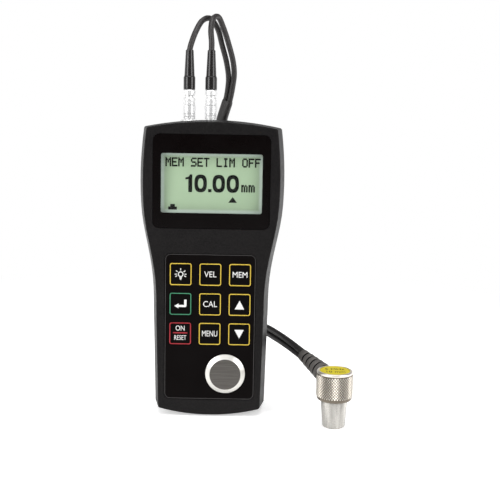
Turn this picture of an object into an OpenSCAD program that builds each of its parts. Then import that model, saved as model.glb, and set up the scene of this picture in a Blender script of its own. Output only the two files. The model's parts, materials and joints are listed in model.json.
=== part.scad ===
// Ultrasonic thickness gauge with a two-lead probe.
// Millimetres. X is the width, the front faces -Y, Z is up, and the foot of the case is at the origin.

/* [Case] */
// Height of the case
case_h = 150.6; // [138:0.2:160]
// Greatest width, at the display
case_w = 73.2; // [70:0.2:80]
// Width at the bottom corners
base_w = 56.6; // [54:0.2:61]
// Width of the grip where it starts to flare
grip_w = 59; // [57:0.2:64]
// Depth from the front face to the back face
case_t = 32; // [30:0.5:36]
// Height where the grip starts to flare
waist_z = 51; // [46:1:56]
// Height over which the grip flares
flare_h = 56; // [50:1:60]
// Depth of the front shell
front_depth = 12; // [11:0.5:14]
// Side and back wall
wall = 2; // [1.6:0.1:2.3]
// Front wall, which carries the window and the keypad
face_wall = 3; // [2.8:0.1:3.4]
// Wall at the top and the bottom end
end_wall = 3; // [2.6:0.1:3.4]
// Slope of the front shell's sides seen from the front
side_slope = 2.4; // [1.6:0.1:2.6]
// Slope of the front shell's ends seen from the front
end_slope = 0.8; // [0.4:0.1:1.2]
// Radius of the front edge
edge_r = 0.6; // [0.4:0.1:0.8]
// Radius of the top end
crown_r = 166; // [140:1:240]
// Radius of the bottom end
base_r = 100; // [80:1:140]

/* [Display] */
// Window plate width
win_w = 58.2; // [56:0.2:62]
// Window plate height
win_h = 46.8; // [44:0.1:50]
// Window plate thickness
win_t = 1.4; // [1:0.1:1.6]
// Window top edge below the top of the case
win_drop = 7; // [6:0.1:9]
// Seen part of the display, width
view_w = 50.4; // [46:0.1:53]
// Seen part of the display, height
view_h = 29.7; // [27:0.1:32]

/* [Keypad] */
// Keypad panel width
panel_w = 45.8; // [44.5:0.1:47]
// Keypad panel height
panel_h = 75; // [72:0.1:76]
// Keypad panel thickness
panel_t = 0.6; // [0.5:0.1:0.8]
// Panel bottom edge above the foot
panel_z = 9; // [8:0.1:10]
// Key side length
key_w = 11.3; // [10:0.1:12]
// Key spacing across
key_pitch = 14.9; // [14.4:0.1:15.4]
// Key spacing down
row_pitch = 15.2; // [14.6:0.1:15.6]
// Top key row below the top edge of the panel
key_drop = 10.4; // [9:0.1:11]
// Key travel
key_stroke = 0.4; // [0.3:0.05:0.5]

/* [Calibration disc] */
// Disc width over its bevel
disc_d = 20.2; // [18:0.1:22]
// Ground face of the disc
disc_face_d = 15.9; // [14:0.1:16.6]
// Height of the disc above the front of the case
disc_rise = 1; // [0.6:0.1:1.4]
// Disc centre to the right of the middle
disc_x = 8.1; // [6:0.1:9]
// Disc centre above the bottom edge of the panel
disc_up = 13.4; // [12:0.1:13.6]

/* [Battery] */
// Cell diameter
cell_d = 14.3; // [13.8:0.1:14.6]
// Cell length with its button
cell_l = 50.5; // [49:0.1:51]
// Bottom of the battery bay above the foot
bay_z = 14; // [13:0.5:16]

/* [Plugs] */
// Distance between the two plugs
plug_pitch = 11.1; // [10.4:0.1:13]
// Right plug to the left of the middle
plug_shift = 1.6; // [0:0.1:3]
// Plugs behind the middle of the case
plug_y = 4; // [3:0.5:5]
// Release sleeve diameter
sleeve_d = 6.3; // [6:0.1:6.8]
// Release sleeve length
sleeve_l = 10.8; // [9:0.1:13]
// Release sleeve travel
sleeve_stroke = 1; // [0.6:0.1:1]
// Bend boot length
boot_l = 20; // [16:0.5:24]

/* [Probe] */
// Probe axis to the right of the middle
probe_x = 62.8; // [56:0.1:70]
// Probe axis in front of the middle
probe_front = 26.4; // [22:0.1:32]
// Knurled head diameter
head_d = 18; // [17:0.1:20]
// Knurled head height
head_h = 14.6; // [14:0.1:17]
// Steel collar height below the head
collar_h = 14; // [12:0.1:15]
// Steel collar diameter at the contact end
collar_d = 11.4; // [11:0.1:12]
// Knurl points round the head
knurl_n = 32; // [24:2:36]
// Cord boot length
tail_boot_l = 20; // [17:0.5:22]
// One lead of the cord
lead_d = 2.8; // [2.4:0.1:3]

/* [Hidden] */
$fn = 64;

// Clearance of a moulded fit and of a running fit
fit = 0.15;
run = 0.08;

// Planes from front to back
front_y = -case_t / 2;
back_y = case_t / 2;
part_y = front_y + front_depth;
face_in_y = front_y + face_wall;
back_in_y = back_y - wall;
lcd_t = 2.4;
gasket_t = 0.4;
light_t = 1.7;
board_y = face_in_y + gasket_t + lcd_t + light_t;
board_t = 1.6;

// Outline of the case
shoulder_z = case_h - 30.8;
shoulder_r = 201;
corner_r = 0.7;
foot_w = 6;
arc_n = 15;
side_n = 26;
front_n = 3;
edge_n = 5;
back_side_round = 3.4;
back_end_round = 2;
back_round = 5;
lip_h = 1.3;
lip_in = wall / 2 + 0.1;
front_wall = wall + 1;

function ease(s) = let (c = max(0, min(1, s))) c * c * (3 - 2 * c);
function grip_half(z) = base_w / 2 + (grip_w - base_w) / 2 * z / waist_z;
function head_half(z) = case_w / 2 - pow(z - shoulder_z, 2) / (2 * shoulder_r);
function half_w(z) = grip_half(z) + (head_half(z) - grip_half(z)) * ease((z - waist_z) / flare_h);
function base_sag(x) = base_r - sqrt(base_r * base_r - x * x);
function base_z(x) = max(0, base_sag(x) - base_sag(foot_w / 2));
function crown_z(x) = case_h - crown_r + sqrt(crown_r * crown_r - x * x);
function side_z(k, z0, z1) = z0 + (z1 - z0) * k / side_n;

// Outline drawn in by a side inset and an end inset, from the lower left round to the left side
function outline(side, end) =
  let (
    xb = half_w(base_z(base_w / 2)) - side,
    zb = base_z(xb) + end,
    xt = half_w(crown_z(case_w / 2)) - side,
    zt = crown_z(xt) - end,
    c = corner_r
  )
  concat(
    [for (k = [0 : arc_n]) let (x = (xb - c) * (2 * k / arc_n - 1)) [x, base_z(x) + end]],
    [[xb - 0.3 * c, zb + 0.3 * c]],
    [for (k = [0 : side_n]) let (z = side_z(k, zb + c, zt - c)) [half_w(z) - side, z]],
    [[xt - 0.3 * c, zt - 0.3 * c]],
    [for (k = [arc_n : -1 : 0]) let (x = (xt - c) * (2 * k / arc_n - 1)) [x, crown_z(x) - end]],
    [[0.3 * c - xt, zt - 0.3 * c]],
    [for (k = [side_n : -1 : 0]) let (z = side_z(k, zb + c, zt - c)) [side - half_w(z), z]],
    [[0.3 * c - xb, zb + 0.3 * c]]
  );

// Solid through outlines set at depths, each level being depth, side inset and end inset
module loft(levels) {
  n = len(outline(0, 0));
  m = len(levels);
  points = [for (l = levels) for (p = outline(l[1], l[2])) [p[0], l[0], p[1]]];
  bands = [
    for (j = [0 : m - 2])
      for (k = [0 : n - 1])
        let (a = j * n + k, b = j * n + (k + 1) % n)
          each [[a, b, b + n], [a, b + n, a + n]]
  ];
  front = [[for (k = [n - 1 : -1 : 0]) k]];
  back = [[for (k = [0 : n - 1]) (m - 1) * n + k]];
  polyhedron(points = points, faces = concat(front, bands, back), convexity = 8);
}

// Level carried on past the first one, away from the second
function past(a, b, part) = a + (a - b) * part;

// Loft cut square at two depths
module cut_loft(levels, y0, y1) {
  intersection() {
    loft(levels);
    translate([-case_w, y0, -case_h])
      cube([2 * case_w, y1 - y0, 3 * case_h]);
  }
}

// Prism from a flat figure in X and Z, between two depths
module slab(y0, y1) {
  translate([0, y1, 0])
    rotate([90, 0, 0])
      linear_extrude(height = y1 - y0)
        children();
}

// Straight-sided block inside the outline, drawn in by a side inset and an end inset
module core(y0, y1, side, end) {
  slab(y0, y1)
    polygon(outline(side, end));
}

// Round bar along Y
module rod(x, z, y0, y1, r) {
  translate([x, y1, z])
    rotate([90, 0, 0])
      cylinder(h = y1 - y0, r = r);
}

// Corner points of a rectangle with rounded corners
function rounded(w, h, r, n = 4) = [
  for (q = [0 : 3])
    for (k = [0 : n])
      let (
        a = 90 * q + 90 * k / n,
        cx = (q == 0 || q == 3) ? w / 2 - r : r - w / 2,
        cz = (q < 2) ? h / 2 - r : r - h / 2
      )
      [cx + r * cos(a), cz + r * sin(a)]
];

module plate(x, z, w, h, r, y0, y1) {
  translate([x, 0, z])
    slab(y0, y1)
      polygon(rounded(w, h, r));
}

// Window, display and keypad places
win_z = case_h - win_drop - win_h / 2;
view_z = win_z - 0.9;
win_r = 3.2;
win_seat = win_t + 0.1;
lcd_w = view_w + 5.6;
lcd_h = view_h + 6.2;
lcd_open_w = view_w + 2.6;
lcd_open_h = view_h + 3;
panel_mid = panel_z + panel_h / 2;
panel_r = 3;
panel_seat = panel_t + 0.3;
panel_back = front_y + panel_seat;
key_r = 1.2;
key_top = panel_z + panel_h - key_drop;
key_flange = key_w + 1.4;
flange_t = 0.6;
key_pocket = flange_t + key_stroke + 0.1;
stem_r = 2.5;
switch_tip = board_y - 3.9;
function key_x(c) = (c - 1) * key_pitch;
function key_z(r) = key_top - r * row_pitch;

// Calibration disc, held by a clip behind the front wall
disc_z = panel_z + disc_up;
disc_spigot_r = disc_face_d / 2 - 0.4;

// Screws that join the shells, and posts for the board
screw_x = [20.2, 28.4];
screw_z = [10.2, case_h - 9.4];
screw_seat = part_y + 10;
post_x = [22, 25];
light_foot = view_z - 1 - (lcd_h + 2) / 2;
post_z = [panel_z + 18.7, (key_top + key_w / 2 + light_foot) / 2];
board_z0 = 14.4;
board_z1 = case_h - 16.2;

// Battery bay in the rear shell
bay_half = cell_d + 1.3;
bay_h = cell_l + 5.4;
bay_wall = 1.5;
bay_floor = back_in_y - cell_d - 1.4;
cell_x = cell_d / 2 + 0.35;
cell_y = bay_floor + cell_d / 2 + 0.3;
spring_h = 4.2;
door_half = bay_half + 0.5;
door_z0 = bay_z - 1.8;
door_z1 = bay_z + bay_h + 1.6;
door_r = wall / 2;
door_pin_z = door_z1 - door_r;
door_pin_y = back_y - door_r;
door_gap = 0.25;
door_pin_r = 0.5;

// Sockets and plugs
right_x = -plug_shift;
left_x = -plug_shift - plug_pitch;
seat_z = case_h - 1.7;
flange_h = 1.6;
socket_r = 3.4;
sleeve_z = seat_z + flange_h + 0.4;
nut_z = sleeve_z + sleeve_l + sleeve_stroke + 0.1;
nut_h = 3;
boot_z = nut_z + nut_h;
boot_top = boot_z + boot_l;
body_r = 2.25;

// Cord route, as the cord hangs
tip = [right_x, plug_y, boot_top];
left_tip = [left_x, plug_y, boot_top];
right_route = [
  tip,
  tip + [0, 0.2, 4],
  tip + [-0.5, 2, 10.5],
  tip + [0.3, 5.5, 15.8],
  tip + [2.8, 10, 17.2],
  tip + [5.6, 14.4, 12.4],
  tip + [8.8, 18, 4],
  tip + [11.4, 20, -4.6],
  tip + [12.3, 21, -11],
  tip + [11.6, 22, -18],
  tip + [10.2, 23, -24.7]
];
left_route = [
  left_tip,
  left_tip + [1, 0.2, 4],
  left_tip + [3.2, 2.4, 10.2],
  left_tip + [6.2, 6.4, 14.8],
  left_tip + [9.8, 11.4, 16.4],
  tip + [1.8, 17, 12.6],
  tip + [5.2, 20, 4.2],
  tip + [7.6, 21.4, -5],
  tip + [8.6, 22, -12.6],
  tip + [8.2, 22.8, -19],
  tip + [7.4, 23, -24.7]
];
hank_x = -5.7;
hank_y = 68;
hank_l = 87;
hank_w = 32.8;
hank_z = 0.6;
hank_h = 2 * lead_d;
drop_route = [
  tip + [8.8, 23, -24.9],
  tip + [6.8, 25, -35],
  tip + [5, 29, -46],
  [3.5, 40, 118],
  [2.5, 48, 97],
  [2, 55, 76],
  [1.5, 60, 56],
  [0.5, 63, 38],
  [-1, 66, 23],
  [-3.5, 71, 12],
  [-6, 76.5, 7.6]
];
drop_width = [
  [1, 0, 0], [1, 0, 0], [1, 0, 0], [1, 0, 0], [1, 0, 0], [1, 0, 0],
  [0.87, 0.5, 0], [0.5, 0.87, 0.2], [0.1, 1, 0.3], [0, 0.8, 0.6], [0, 0.6, 0.8]
];
tail_route = [
  [12.2, 92, 3.4],
  [12.9, 83.6, 4.4],
  [14.2, 75, 8],
  [16.2, 66.5, 14.2],
  [19, 57.8, 21.6],
  [22.2, 49.2, 28.2],
  [25.6, 40.6, 32.2],
  [30.4, 31, 33.8],
  [35.6, 22.4, 32.9],
  [41.6, 12.6, 31.2]
];

function unit(v) = v / norm(v);
function heading(p, i) = unit(p[min(i + 1, len(p) - 1)] - p[max(i - 1, 0)]);
function square_to(u, t) = unit(u - (u * t) * t);

// Tube through a route, with half its width along w and half its thickness across
module tube(p, w, half_wide, half_thick, sides = 8) {
  m = len(p);
  points = [
    for (i = [0 : m - 1])
      let (t = heading(p, i), u = square_to(w[i], t), v = cross(t, u))
        for (k = [0 : sides - 1])
          let (a = 360 * k / sides)
            p[i] + half_wide * cos(a) * u + half_thick * sin(a) * v
  ];
  bands = [
    for (j = [0 : m - 2])
      for (k = [0 : sides - 1])
        let (a = j * sides + k, b = j * sides + (k + 1) % sides)
          each [[a, b + sides, b], [a, a + sides, b + sides]]
  ];
  first = [[for (k = [0 : sides - 1]) k]];
  last = [[for (k = [sides - 1 : -1 : 0]) (m - 1) * sides + k]];
  polyhedron(points = points, faces = concat(first, bands, last), convexity = 6);
}

// Case

module front_body() {
  roll = [
    for (k = [0 : front_n])
      let (a = 90 * k / front_n, turn = edge_r * (1 - sin(a)))
        [front_y + edge_r * (1 - cos(a)), side_slope + turn, end_slope + turn]
  ];
  rim = [part_y, 0, 0];
  difference() {
    cut_loft(
      concat([past(roll[0], roll[1], 4)], [for (k = [1 : front_n]) roll[k]], [past(rim, roll[front_n], 0.2)]),
      front_y,
      part_y
    );
    core(face_in_y, part_y + 1, front_wall, end_wall);
    core(part_y - lip_h - 1, part_y + 1, lip_in - fit, lip_in - fit);
  }
}

module front_posts() {
  for (s = [-1, 1]) {
    for (i = [0, 1]) {
      rod(s * screw_x[i], screw_z[i], face_in_y - 0.5, part_y - 0.2, 3);
      rod(s * post_x[i], post_z[i], face_in_y - 0.5, board_y, 2.5);
    }
  }
}

module front_post_bores() {
  for (s = [-1, 1]) {
    for (i = [0, 1]) {
      rod(s * screw_x[i], screw_z[i], part_y - 7.4, part_y + 1, 1.25);
      rod(s * post_x[i], post_z[i], board_y - 3.6, board_y + 1, 0.85);
    }
  }
}

module front_shell() {
  color("#242426")
    difference() {
      union() {
        front_body();
        front_posts();
      }
      front_post_bores();
      plate(0, win_z, win_w + 2 * fit, win_h + 2 * fit, win_r + fit, front_y - 1, front_y + win_seat);
      plate(0, view_z, lcd_open_w, lcd_open_h, 1, front_y + win_seat / 2, face_in_y + 1);
      plate(0, panel_mid, panel_w + 2 * fit, panel_h + 2 * fit, panel_r + fit, front_y - 1, panel_back);
      for (c = [0 : 2]) {
        for (r = [0 : 2]) {
          let (w = key_flange + 0.4)
            plate(key_x(c), key_z(r), w, w, 1, panel_back - 0.4, panel_back + key_pocket);
          rod(key_x(c), key_z(r), panel_back - 0.2, face_in_y + 1, stem_r + 0.3);
        }
      }
      rod(disc_x, disc_z, panel_back - 0.3, face_in_y + 1, disc_spigot_r + 0.1);
    }
}

module rear_body() {
  roll = [
    for (k = [edge_n : -1 : 0])
      let (a = 90 * k / edge_n)
        [back_y - back_round * (1 - cos(a)), back_side_round * (1 - sin(a)), back_end_round * (1 - sin(a))]
  ];
  tail = past(roll[edge_n], roll[edge_n - 1], 1);
  union() {
    cut_loft(
      concat([[part_y - 2, 0, 0]], [for (k = [0 : edge_n - 1]) roll[k]], [tail]),
      part_y,
      back_y
    );
    core(part_y - lip_h, part_y + 0.6, lip_in, lip_in);
  }
}

module bay_block(grow, y0, y1) {
  translate([-bay_half - grow, y0, bay_z - grow])
    cube([2 * (bay_half + grow), y1 - y0, bay_h + 2 * grow]);
}

module rear_shell() {
  color("#232325")
    difference() {
      union() {
        difference() {
          rear_body();
          core(part_y - lip_h - 1, back_in_y, wall, end_wall);
        }
        bay_block(bay_wall, bay_floor - bay_wall, back_in_y + 0.5);
        for (s = [-1, 1]) {
          for (i = [0, 1]) {
            rod(s * screw_x[i], screw_z[i], part_y + 0.2, back_in_y + 0.5, 3.4);
          }
        }
      }
      bay_block(0, bay_floor, back_y + 1);
      translate([-door_half - door_gap, back_in_y - 0.05, door_z0 - door_gap])
        cube([2 * (door_half + door_gap), wall + 1, door_z1 - door_z0 + 2 * door_gap]);
      for (s = [-1, 1]) {
        for (i = [0, 1]) {
          rod(s * screw_x[i], screw_z[i], part_y - 1, back_y + 1, 1.6);
          rod(s * screw_x[i], screw_z[i], screw_seat, back_y + 1, 2.5);
        }
      }
      translate([-door_half - 1.6, door_pin_y, door_pin_z])
        rotate([0, 90, 0])
          cylinder(h = 2 * door_half + 3.2, r = door_pin_r + run);
      for (x = [left_x, right_x]) {
        translate([x, plug_y, seat_z])
          cylinder(h = 6, r = 5);
        translate([x, plug_y, seat_z - 12])
          cylinder(h = 14, r = socket_r + 0.1);
      }
    }
}

module case_seal() {
  color("#3a3a3c")
    difference() {
      core(part_y - lip_h - 0.9, part_y - lip_h - 0.05, lip_in, lip_in);
      core(part_y - lip_h - 2, part_y, wall - 0.1, wall - 0.1);
    }
}

module case_screws() {
  color("#8d8f93")
    for (s = [-1, 1]) {
      for (i = [0, 1]) {
        difference() {
          union() {
            rod(s * screw_x[i], screw_z[i], screw_seat, screw_seat + 1.9, 2.25);
            rod(s * screw_x[i], screw_z[i], part_y - 7, screw_seat + 0.1, 1.2);
          }
          translate([s * screw_x[i] - 1.5, screw_seat + 0.9, screw_z[i] - 0.3])
            cube([3, 2, 0.6]);
          translate([s * screw_x[i] - 0.3, screw_seat + 0.9, screw_z[i] - 1.5])
            cube([0.6, 2, 3]);
        }
      }
    }
}

// Display

module display_window() {
  color("#101012")
    plate(0, win_z, win_w, win_h, win_r, front_y + 0.1, front_y + win_seat);
}

module lcd_gasket() {
  color("#2c2c2e")
    difference() {
      plate(0, view_z, lcd_w, lcd_h, 0.6, face_in_y, face_in_y + gasket_t);
      plate(0, view_z, lcd_open_w, lcd_open_h, 0.6, face_in_y - 1, face_in_y + gasket_t + 1);
    }
}

module lcd_panel() {
  color("#aec5a8")
    plate(0, view_z, lcd_w, lcd_h, 0.3, face_in_y + gasket_t, face_in_y + gasket_t + lcd_t);
}

module lcd_backlight() {
  color("#e8ece4")
    plate(0, view_z - 1, lcd_w, lcd_h + 2, 0.6, board_y - light_t, board_y);
}

// Keypad

module keypad_panel() {
  color("#161415")
    difference() {
      plate(0, panel_mid, panel_w, panel_h, panel_r, panel_back - panel_t, panel_back);
      for (c = [0 : 2]) {
        for (r = [0 : 2]) {
          plate(key_x(c), key_z(r), key_w + 2 * fit, key_w + 2 * fit, key_r + fit, front_y - 1, part_y);
        }
      }
      rod(disc_x, disc_z, front_y - 1, part_y, disc_d / 2 + fit);
    }
}

module key(c, r) {
  union() {
    plate(key_x(c), key_z(r), key_w, key_w, key_r, panel_back - panel_t - 0.15, panel_back + 0.2);
    plate(key_x(c), key_z(r), key_flange, key_flange, 0.8, panel_back + 0.05, panel_back + flange_t);
    rod(key_x(c), key_z(r), panel_back + 0.3, switch_tip - key_stroke - 0.1, stem_r);
  }
}

module key_light() {
  color("#d9bf55") key(0, 0);
}

module key_velocity() {
  color("#d9bf55") key(1, 0);
}

module key_store() {
  color("#d9bf55") key(2, 0);
}

module key_enter() {
  color("#3c8c62") key(0, 1);
}

module key_calibrate() {
  color("#d9bf55") key(1, 1);
}

module key_up() {
  color("#d9bf55") key(2, 1);
}

module key_power() {
  color("#b8323c") key(0, 2);
}

module key_menu() {
  color("#d9bf55") key(1, 2);
}

module key_down() {
  color("#d9bf55") key(2, 2);
}

module key_switches() {
  color("#4a4a4c")
    for (c = [0 : 2]) {
      for (r = [0 : 2]) {
        union() {
          translate([key_x(c) - 3, board_y - 3.1, key_z(r) - 3])
            cube([6, 3.1, 6]);
          rod(key_x(c), key_z(r), switch_tip, board_y - 3, 1.7);
        }
      }
    }
}

// Calibration disc

module turned(x, z) {
  translate([x, 0, z])
    rotate([-90, 0, 0])
      rotate_extrude()
        children();
}

module calibration_disc() {
  rim = disc_d / 2;
  face = disc_face_d / 2;
  top = front_y - disc_rise;
  color("#c9c8c4")
    turned(disc_x, disc_z)
      polygon([
        [0, top + 0.15], [face - 0.25, top + 0.15], [face - 0.15, top], [face + 0.1, top],
        [rim, panel_back - 0.5], [rim, panel_back], [disc_spigot_r, panel_back],
        [disc_spigot_r, face_in_y + 0.1], [disc_spigot_r - 0.6, face_in_y + 0.1],
        [disc_spigot_r - 0.6, face_in_y + 0.9], [disc_spigot_r, face_in_y + 0.9],
        [disc_spigot_r, face_in_y + 1.4], [0, face_in_y + 1.4]
      ]);
}

module disc_clip() {
  color("#77797d")
    difference() {
      rod(disc_x, disc_z, face_in_y + 0.15, face_in_y + 0.8, disc_spigot_r + 1.2);
      rod(disc_x, disc_z, face_in_y, face_in_y + 1, disc_spigot_r - 0.55);
      translate([disc_x - 1.5, face_in_y, disc_z - disc_d])
        cube([3, 2, disc_d]);
    }
}

// Board and battery

module main_board() {
  in = front_wall + 0.5;
  n = 12;
  z0 = board_z0;
  dz = (board_z1 - board_z0) / n;
  color("#1f5a38")
    difference() {
      slab(board_y, board_y + board_t)
        polygon(concat(
          [for (k = [0 : n]) [half_w(z0 + dz * k) - in, z0 + dz * k]],
          [for (k = [n : -1 : 0]) [in - half_w(z0 + dz * k), z0 + dz * k]]
        ));
      for (s = [-1, 1]) {
        for (i = [0, 1]) {
          rod(s * post_x[i], post_z[i], board_y - 1, board_y + board_t + 1, 1.1);
        }
      }
    }
}

module board_screws() {
  color("#9a9ca0")
    for (s = [-1, 1]) {
      for (i = [0, 1]) {
        union() {
          rod(s * post_x[i], post_z[i], board_y + board_t, board_y + board_t + 1.2, 1.9);
          rod(s * post_x[i], post_z[i], board_y - 3, board_y + board_t + 0.1, 0.8);
        }
      }
    }
}

module battery_door() {
  color("#252527")
    difference() {
      union() {
        translate([-door_half, back_in_y, door_z0])
          cube([2 * door_half, wall, door_pin_z - door_z0]);
        translate([-door_half, door_pin_y, door_pin_z])
          rotate([0, 90, 0])
            cylinder(h = 2 * door_half, r = door_r);
        translate([-door_half - 1.2, door_pin_y, door_pin_z])
          rotate([0, 90, 0])
            cylinder(h = 2 * door_half + 2.4, r = door_pin_r);
        for (s = [-1, 1]) {
          translate([s * (cell_d + 0.2) - 0.6, back_in_y - 0.8, bay_z + 8])
            cube([1.2, 1, bay_h - 18]);
        }
      }
      for (k = [0 : 4]) {
        translate([-8, back_y - 0.6, door_z0 + 5 + 2.4 * k])
          cube([16, 1, 1.2]);
      }
      translate([-5, back_y - 1.2, door_z0 - 1])
        cube([10, 2, 2.4]);
    }
}

module battery_cells() {
  color("#30343c")
    for (s = [-1, 1]) {
      z0 = bay_z + ((s < 0) ? spring_h + 0.5 : 0.6);
      translate([s * cell_x, cell_y, (s < 0) ? z0 : z0 + cell_l])
        rotate([(s < 0) ? 0 : 180, 0, 0])
          rotate_extrude()
            polygon([
              [0, 0], [cell_d / 2 - 1.6, 0], [cell_d / 2 - 1.4, 0.4], [cell_d / 2 - 0.4, 0.4],
              [cell_d / 2, 0.8], [cell_d / 2, cell_l - 2], [cell_d / 2 - 0.6, cell_l - 1.4],
              [2.7, cell_l - 1.2], [2.6, cell_l], [0, cell_l]
            ]);
    }
}

module battery_springs() {
  turns = 3.5;
  n = 42;
  color("#b9bbbf")
    for (s = [-1, 1]) {
      route = [
        for (k = [0 : n])
          let (a = 360 * turns * k / n, r = 4.4 - 1.6 * k / n)
            [
              s * cell_x + r * cos(a),
              cell_y + r * sin(a),
              (s < 0) ? bay_z + 0.9 + (spring_h - 0.9) * k / n : bay_z + bay_h - 0.9 - (spring_h - 0.9) * k / n
            ]
      ];
      tube(route, [for (k = [0 : n]) [0, 0, 1]], 0.35, 0.35, 6);
    }
}

module battery_plates() {
  color("#a9abaf")
    for (s = [-1, 1]) {
      for (z = [bay_z + 0.05, bay_z + bay_h - 0.45]) {
        translate([s * cell_x - 5.5, cell_y - 5.5, z])
          cube([11, 11, 0.4]);
      }
    }
}

// Sockets and plugs

module socket_at(x) {
  translate([x, plug_y, 0])
    rotate_extrude()
      polygon([
        [0, seat_z - 11], [socket_r - 0.6, seat_z - 11], [socket_r - 0.6, seat_z - 8.5],
        [socket_r, seat_z - 8.5], [socket_r, seat_z], [4.5, seat_z], [4.5, seat_z + flange_h - 0.4],
        [4.1, seat_z + flange_h], [body_r + 0.1, seat_z + flange_h], [body_r + 0.1, seat_z - 6.5],
        [0.45, seat_z - 6.5], [0.45, seat_z - 2], [0, seat_z - 1.7]
      ]);
}

module left_socket() {
  color("#c4c5c8") socket_at(left_x);
}

module right_socket() {
  color("#c4c5c8") socket_at(right_x);
}

module socket_nuts() {
  nut_top = crown_z(left_x - 5) - end_wall - 0.1;
  color("#b4a15a")
    for (x = [left_x, right_x]) {
      difference() {
        translate([x, plug_y, nut_top - 2])
          cylinder(h = 2, r = 5, $fn = 6);
        translate([x, plug_y, nut_top - 3])
          cylinder(h = 4, r = socket_r + 0.05);
      }
    }
}

module plug_body_at(x) {
  translate([x, plug_y, 0])
    rotate_extrude()
      polygon([
        [0.75, seat_z - 6], [body_r - 0.2, seat_z - 6], [body_r, seat_z - 5.7], [body_r, boot_z],
        [1.9, boot_z], [1.9, boot_z + 4], [0.75, boot_z + 4]
      ]);
}

module plug_sleeve_at(x) {
  r = sleeve_d / 2;
  z = sleeve_z;
  h = sleeve_l;
  in = body_r + run;
  color("#d4d5d8")
    translate([x, plug_y, 0])
      rotate_extrude()
        polygon(concat(
          [[in, z], [r - 0.3, z], [r - 0.1, z + 0.2]],
          [for (k = [0 : 2]) for (q = [[0.2, 0.3], [0, 0.5], [0, 0.8], [0.2, 1]]) [r - q[0], z + q[1] + 0.8 * k]],
          [[r - 0.1, z + 2.7], [r, z + 2.9], [r, z + h * 0.62]],
          [for (k = [0 : 1]) for (q = [[0.3, 0.2], [0.1, 0.3], [0.1, 0.7], [0.3, 0.8]])
            [r - q[0], z + h * 0.62 + q[1] + 0.8 * k]],
          [[r - 0.1, z + h * 0.62 + 1.9], [r - 0.2, z + h - 0.3], [r - 0.5, z + h], [in, z + h]]
        ));
}

module plug_nut_at(x) {
  r = sleeve_d / 2 - 0.1;
  color("#d0d1d4")
    translate([x, plug_y, 0])
      rotate_extrude()
        polygon([
          [body_r + 0.05, nut_z], [r - 0.4, nut_z], [r, nut_z + 0.4], [r, nut_z + nut_h - 0.4],
          [r - 0.3, nut_z + nut_h], [body_r + 0.05, nut_z + nut_h]
        ]);
}

module plug_boot_at(x) {
  color("#2a2a2c")
    translate([x, plug_y, 0])
      rotate_extrude()
        polygon([
          [1.95, boot_z], [2.9, boot_z], [3, boot_z + 0.4], [3, boot_z + boot_l * 0.31],
          [2.7, boot_z + boot_l * 0.34], [2.6, boot_z + boot_l * 0.36], [2, boot_top - 0.2],
          [1.85, boot_top], [0, boot_top], [0, boot_z + 4.2], [1.95, boot_z + 4.2]
        ]);
}

module left_plug_body() {
  color("#c2a85c") plug_body_at(left_x);
}

module left_plug_sleeve() {
  plug_sleeve_at(left_x);
}

module left_plug_nut() {
  plug_nut_at(left_x);
}

module left_plug_boot() {
  plug_boot_at(left_x);
}

module right_plug_body() {
  color("#c2a85c") plug_body_at(right_x);
}

module right_plug_sleeve() {
  plug_sleeve_at(right_x);
}

module right_plug_nut() {
  plug_nut_at(right_x);
}

module right_plug_boot() {
  plug_boot_at(right_x);
}

// Cord

module left_lead() {
  color("#333335")
    tube(left_route, [for (p = left_route) [1, 0, 0]], lead_d / 2, lead_d / 2);
}

module right_lead() {
  color("#333335")
    tube(right_route, [for (p = right_route) [1, 0, 0]], lead_d / 2, lead_d / 2);
}

module cord_drop() {
  color("#333335")
    tube(drop_route, drop_width, lead_d, lead_d / 2);
}

module cord_hank() {
  r = hank_w / 2;
  color("#333335")
    translate([hank_x, hank_y, hank_z])
      linear_extrude(height = hank_h)
        polygon([
          for (s = [0, 1])
            for (k = [0 : 16])
              let (a = 180 * s + 180 * k / 16)
                [r * cos(a), r * sin(a) + (hank_l / 2 - r) * (1 - 2 * s)]
        ]);
}

module hank_tie() {
  t = hank_z;
  color("#1b1b1d")
    translate([hank_x - hank_w / 2 - t, hank_y - 22, 0])
      difference() {
        cube([hank_w + 2 * t, 8, hank_h + 2 * t]);
        translate([t, -1, t])
          cube([hank_w, 10, hank_h]);
      }
}

module cord_tail() {
  route = concat(tail_route, [tail_tip]);
  color("#333335")
    tube(route, [for (p = route) [0, 0, 1]], lead_d, lead_d / 2);
}

// Probe

head_z = collar_h;
head_top = collar_h + head_h;
head_in = 6.2;
disc_seat_r = head_d / 2 - 1.4;
disc_t = 1.2;
boot_turn = 61.5;
boot_lift = 12.5;
boot_axis_z = head_z + head_h * 0.56;
boot_start = head_d / 2 + 1.4;
boot_hole_r = 3.6;
boot_dir = [-cos(boot_turn) * cos(boot_lift), sin(boot_turn) * cos(boot_lift), sin(boot_lift)];
tail_tip = [probe_x, -probe_front, boot_axis_z] + (boot_start + tail_boot_l) * boot_dir;

module at_probe() {
  translate([probe_x, -probe_front, 0])
    children();
}

module along_boot() {
  translate([0, 0, boot_axis_z])
    rotate([0, 0, 180 - boot_turn])
      rotate([0, 90 - boot_lift, 0])
        children();
}

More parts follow.
